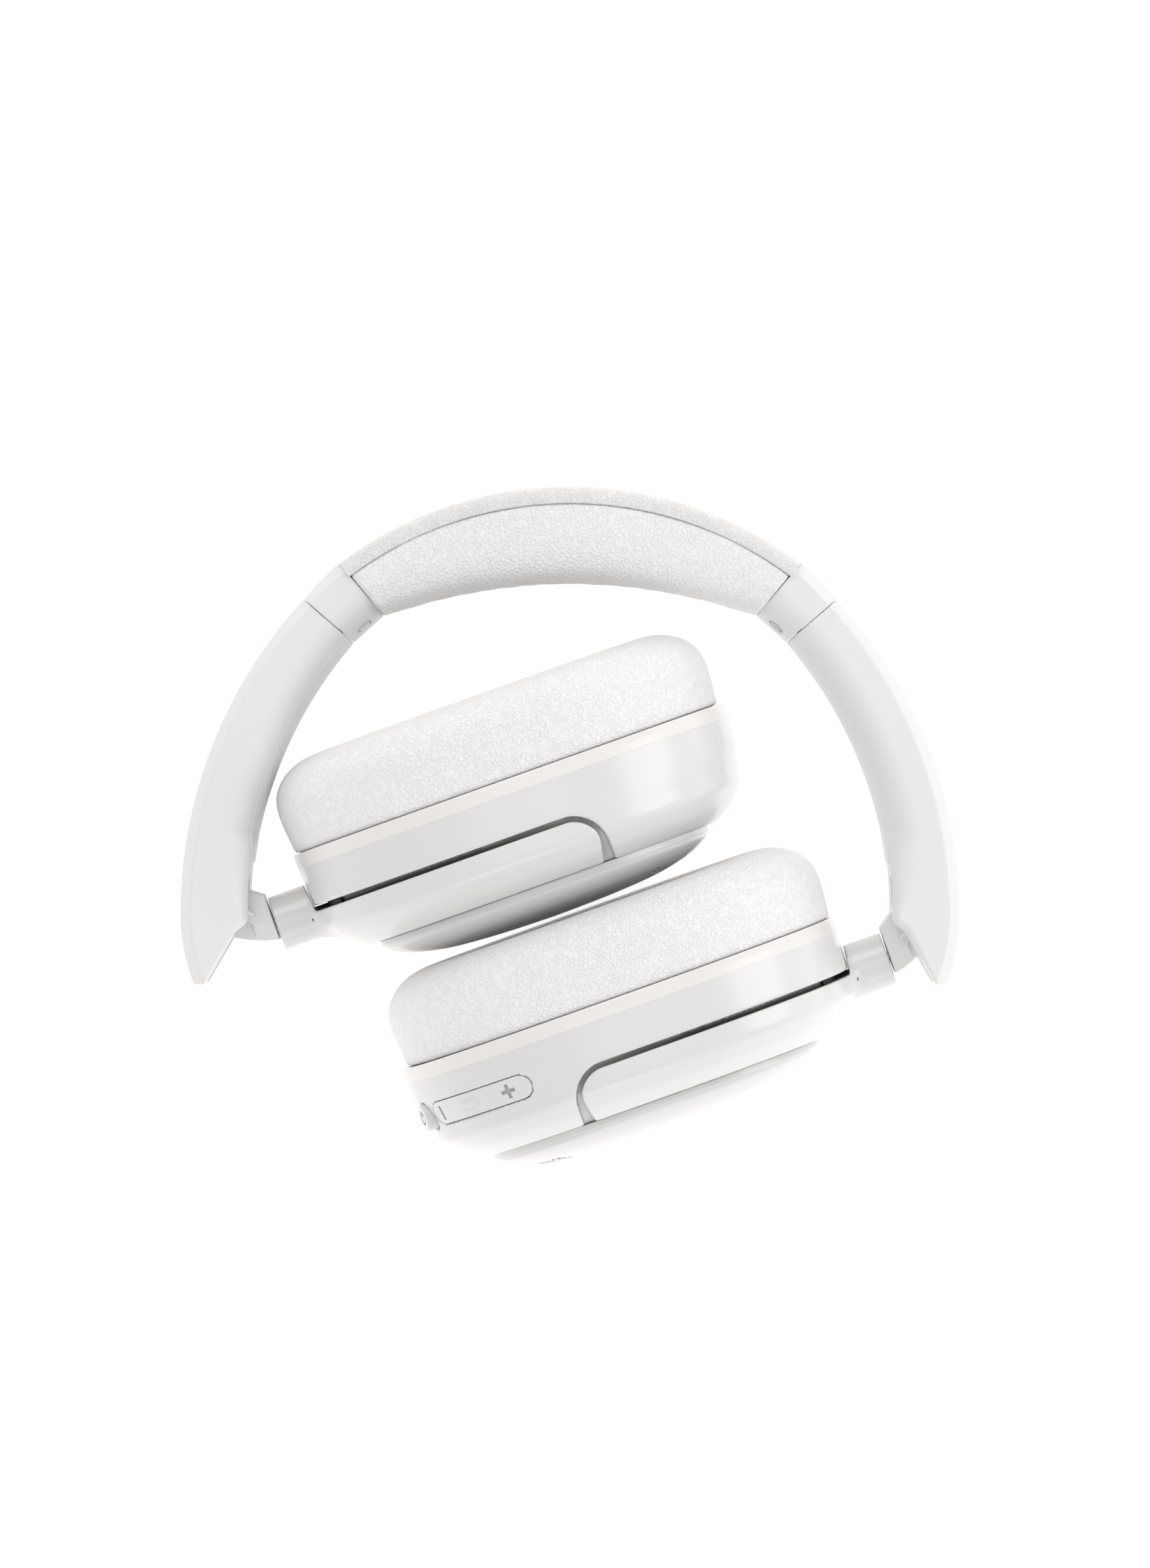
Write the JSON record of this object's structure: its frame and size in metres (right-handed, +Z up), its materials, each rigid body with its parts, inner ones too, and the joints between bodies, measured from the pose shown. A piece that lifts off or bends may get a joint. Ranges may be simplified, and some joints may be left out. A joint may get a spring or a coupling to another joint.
{
  "type": "over-ear headphones",
  "caption": "Folding wireless over-ear headphones: padded headband, sliding arms, fold, swivel and tilt hinges, oval cups with leather cushions, volume rocker and power button.",
  "frame": {"origin": "centre of the bounding box in X and Y, on the table that the folded headphones lie on", "axes": "+X across the headband from the left arm to the right arm, +Y from the ear cups to the crown of the headband, +Z up from the table, along the fold hinges"},
  "size_m": [0.1592, 0.1388, 0.0766],
  "materials": {
    "white_plastic": "satin moulded ABS",
    "satin_plastic": "fine satin",
    "white_leather": "soft grained protein leather",
    "speaker_cloth": "fine woven mesh",
    "steel": "bare",
    "dark_plastic": "moulded",
    "board": "solder mask",
    "cell": "pouch film",
    "diaphragm": "thin film"
  },
  "bodies": {
    "headband": {"headband_frame": "dark_plastic", "spring_band": "steel", "band_rivets": "steel", "headband_cover": "white_leather", "headband_cushion": "white_leather", "collar_left": "satin_plastic", "collar_right": "satin_plastic", "slider_guide_left": "dark_plastic", "slider_guide_right": "dark_plastic", "collar_screws": "steel"},
    "arm_left": {"arm_shell_left": "satin_plastic", "arm_liner_left": "satin_plastic", "slider_strip_left": "steel", "strip_screws_left": "steel", "hinge_pin_left": "steel"},
    "knuckle_left": {"knuckle_left": "satin_plastic", "swivel_shaft_left": "steel", "swivel_clip_left": "steel"},
    "yoke_left": {"yoke_left": "white_plastic", "tilt_pins_left": "steel"},
    "cup_left": {"cup_shell_left": "white_plastic", "cup_cap_left": "white_plastic", "baffle_left": "dark_plastic", "baffle_screws_left": "steel", "ear_cushion_left": "white_leather", "ear_scrim_left": "speaker_cloth", "driver_frame_left": "dark_plastic", "driver_magnet_left": "steel", "diaphragm_left": "diaphragm", "microphone_left": "steel", "battery": "cell"},
    "arm_right": {"arm_shell_right": "satin_plastic", "arm_liner_right": "satin_plastic", "slider_strip_right": "steel", "strip_screws_right": "steel", "hinge_pin_right": "steel"},
    "knuckle_right": {"knuckle_right": "satin_plastic", "swivel_shaft_right": "steel", "swivel_clip_right": "steel"},
    "yoke_right": {"yoke_right": "white_plastic", "tilt_pins_right": "steel"},
    "cup_right": {"cup_shell_right": "white_plastic", "cup_cap_right": "white_plastic", "baffle_right": "dark_plastic", "baffle_screws_right": "steel", "ear_cushion_right": "white_leather", "ear_scrim_right": "speaker_cloth", "driver_frame_right": "dark_plastic", "driver_magnet_right": "steel", "diaphragm_right": "diaphragm", "microphone_right": "steel", "circuit_board": "board", "usb_port": "steel", "rocker_pin": "steel", "rocker_switches": "dark_plastic", "power_switch": "dark_plastic"},
    "volume_rocker": {"volume_rocker": "white_plastic"},
    "power_button": {"power_button": "white_plastic"}
  },
  "joints": [
    {"name": "right_slide", "type": "slide", "parent": "headband", "child": "arm_right", "axis": [0.7071, -0.7071, 0], "range_m": [0, 0.02]},
    {"name": "left_slide", "type": "slide", "parent": "headband", "child": "arm_left", "axis": [-0.7071, -0.7071, 0], "range_m": [0, 0.02]},
    {"name": "right_fold", "type": "hinge", "parent": "arm_right", "child": "knuckle_right", "pos_m": [0.0728, -0.0165, 0.0383], "axis": [0, 0, 1], "range_deg": [0, 50.8]},
    {"name": "left_fold", "type": "hinge", "parent": "arm_left", "child": "knuckle_left", "pos_m": [-0.0728, -0.0165, 0.0383], "axis": [0, 0, -1], "range_deg": [0, 90]},
    {"name": "right_swivel", "type": "hinge", "parent": "knuckle_right", "child": "yoke_right", "pos_m": [0.06592, -0.027, 0.0383], "axis": [0.9421, 0.3355, 0], "range_deg": [-6, 6]},
    {"name": "left_swivel", "type": "hinge", "parent": "knuckle_left", "child": "yoke_left", "pos_m": [-0.06084, -0.02029, 0.0383], "axis": [0.9421, 0.3355, 0], "range_deg": [-6, 6]},
    {"name": "right_tilt", "type": "hinge", "parent": "yoke_right", "child": "cup_right", "pos_m": [0.01022, -0.04959, 0.0383], "axis": [0, 0, 1], "range_deg": [-0.8, 3]},
    {"name": "left_tilt", "type": "hinge", "parent": "yoke_left", "child": "cup_left", "pos_m": [-0.00339, -0.00259, 0.0383], "axis": [0, 0, -1], "range_deg": [-0.8, 3]},
    {"name": "volume_rocker", "type": "hinge", "parent": "cup_right", "child": "volume_rocker", "pos_m": [-0.01622, -0.05481, 0.06189], "axis": [-0.3355, 0.9421, 0], "range_deg": [-2, 2], "stiffness_Nm_per_rad": 0.7},
    {"name": "power_button", "type": "slide", "parent": "cup_right", "child": "power_button", "axis": [0.9121, 0.3248, -0.2504], "range_m": [0, 0.0006], "stiffness_N_per_m": 2500}
  ],
  "couplings": [
    {"joint": "left_slide", "follows": "right_slide", "ratio": 1},
    {"joint": "left_fold", "follows": "right_fold", "ratio": 0.5}
  ]
}
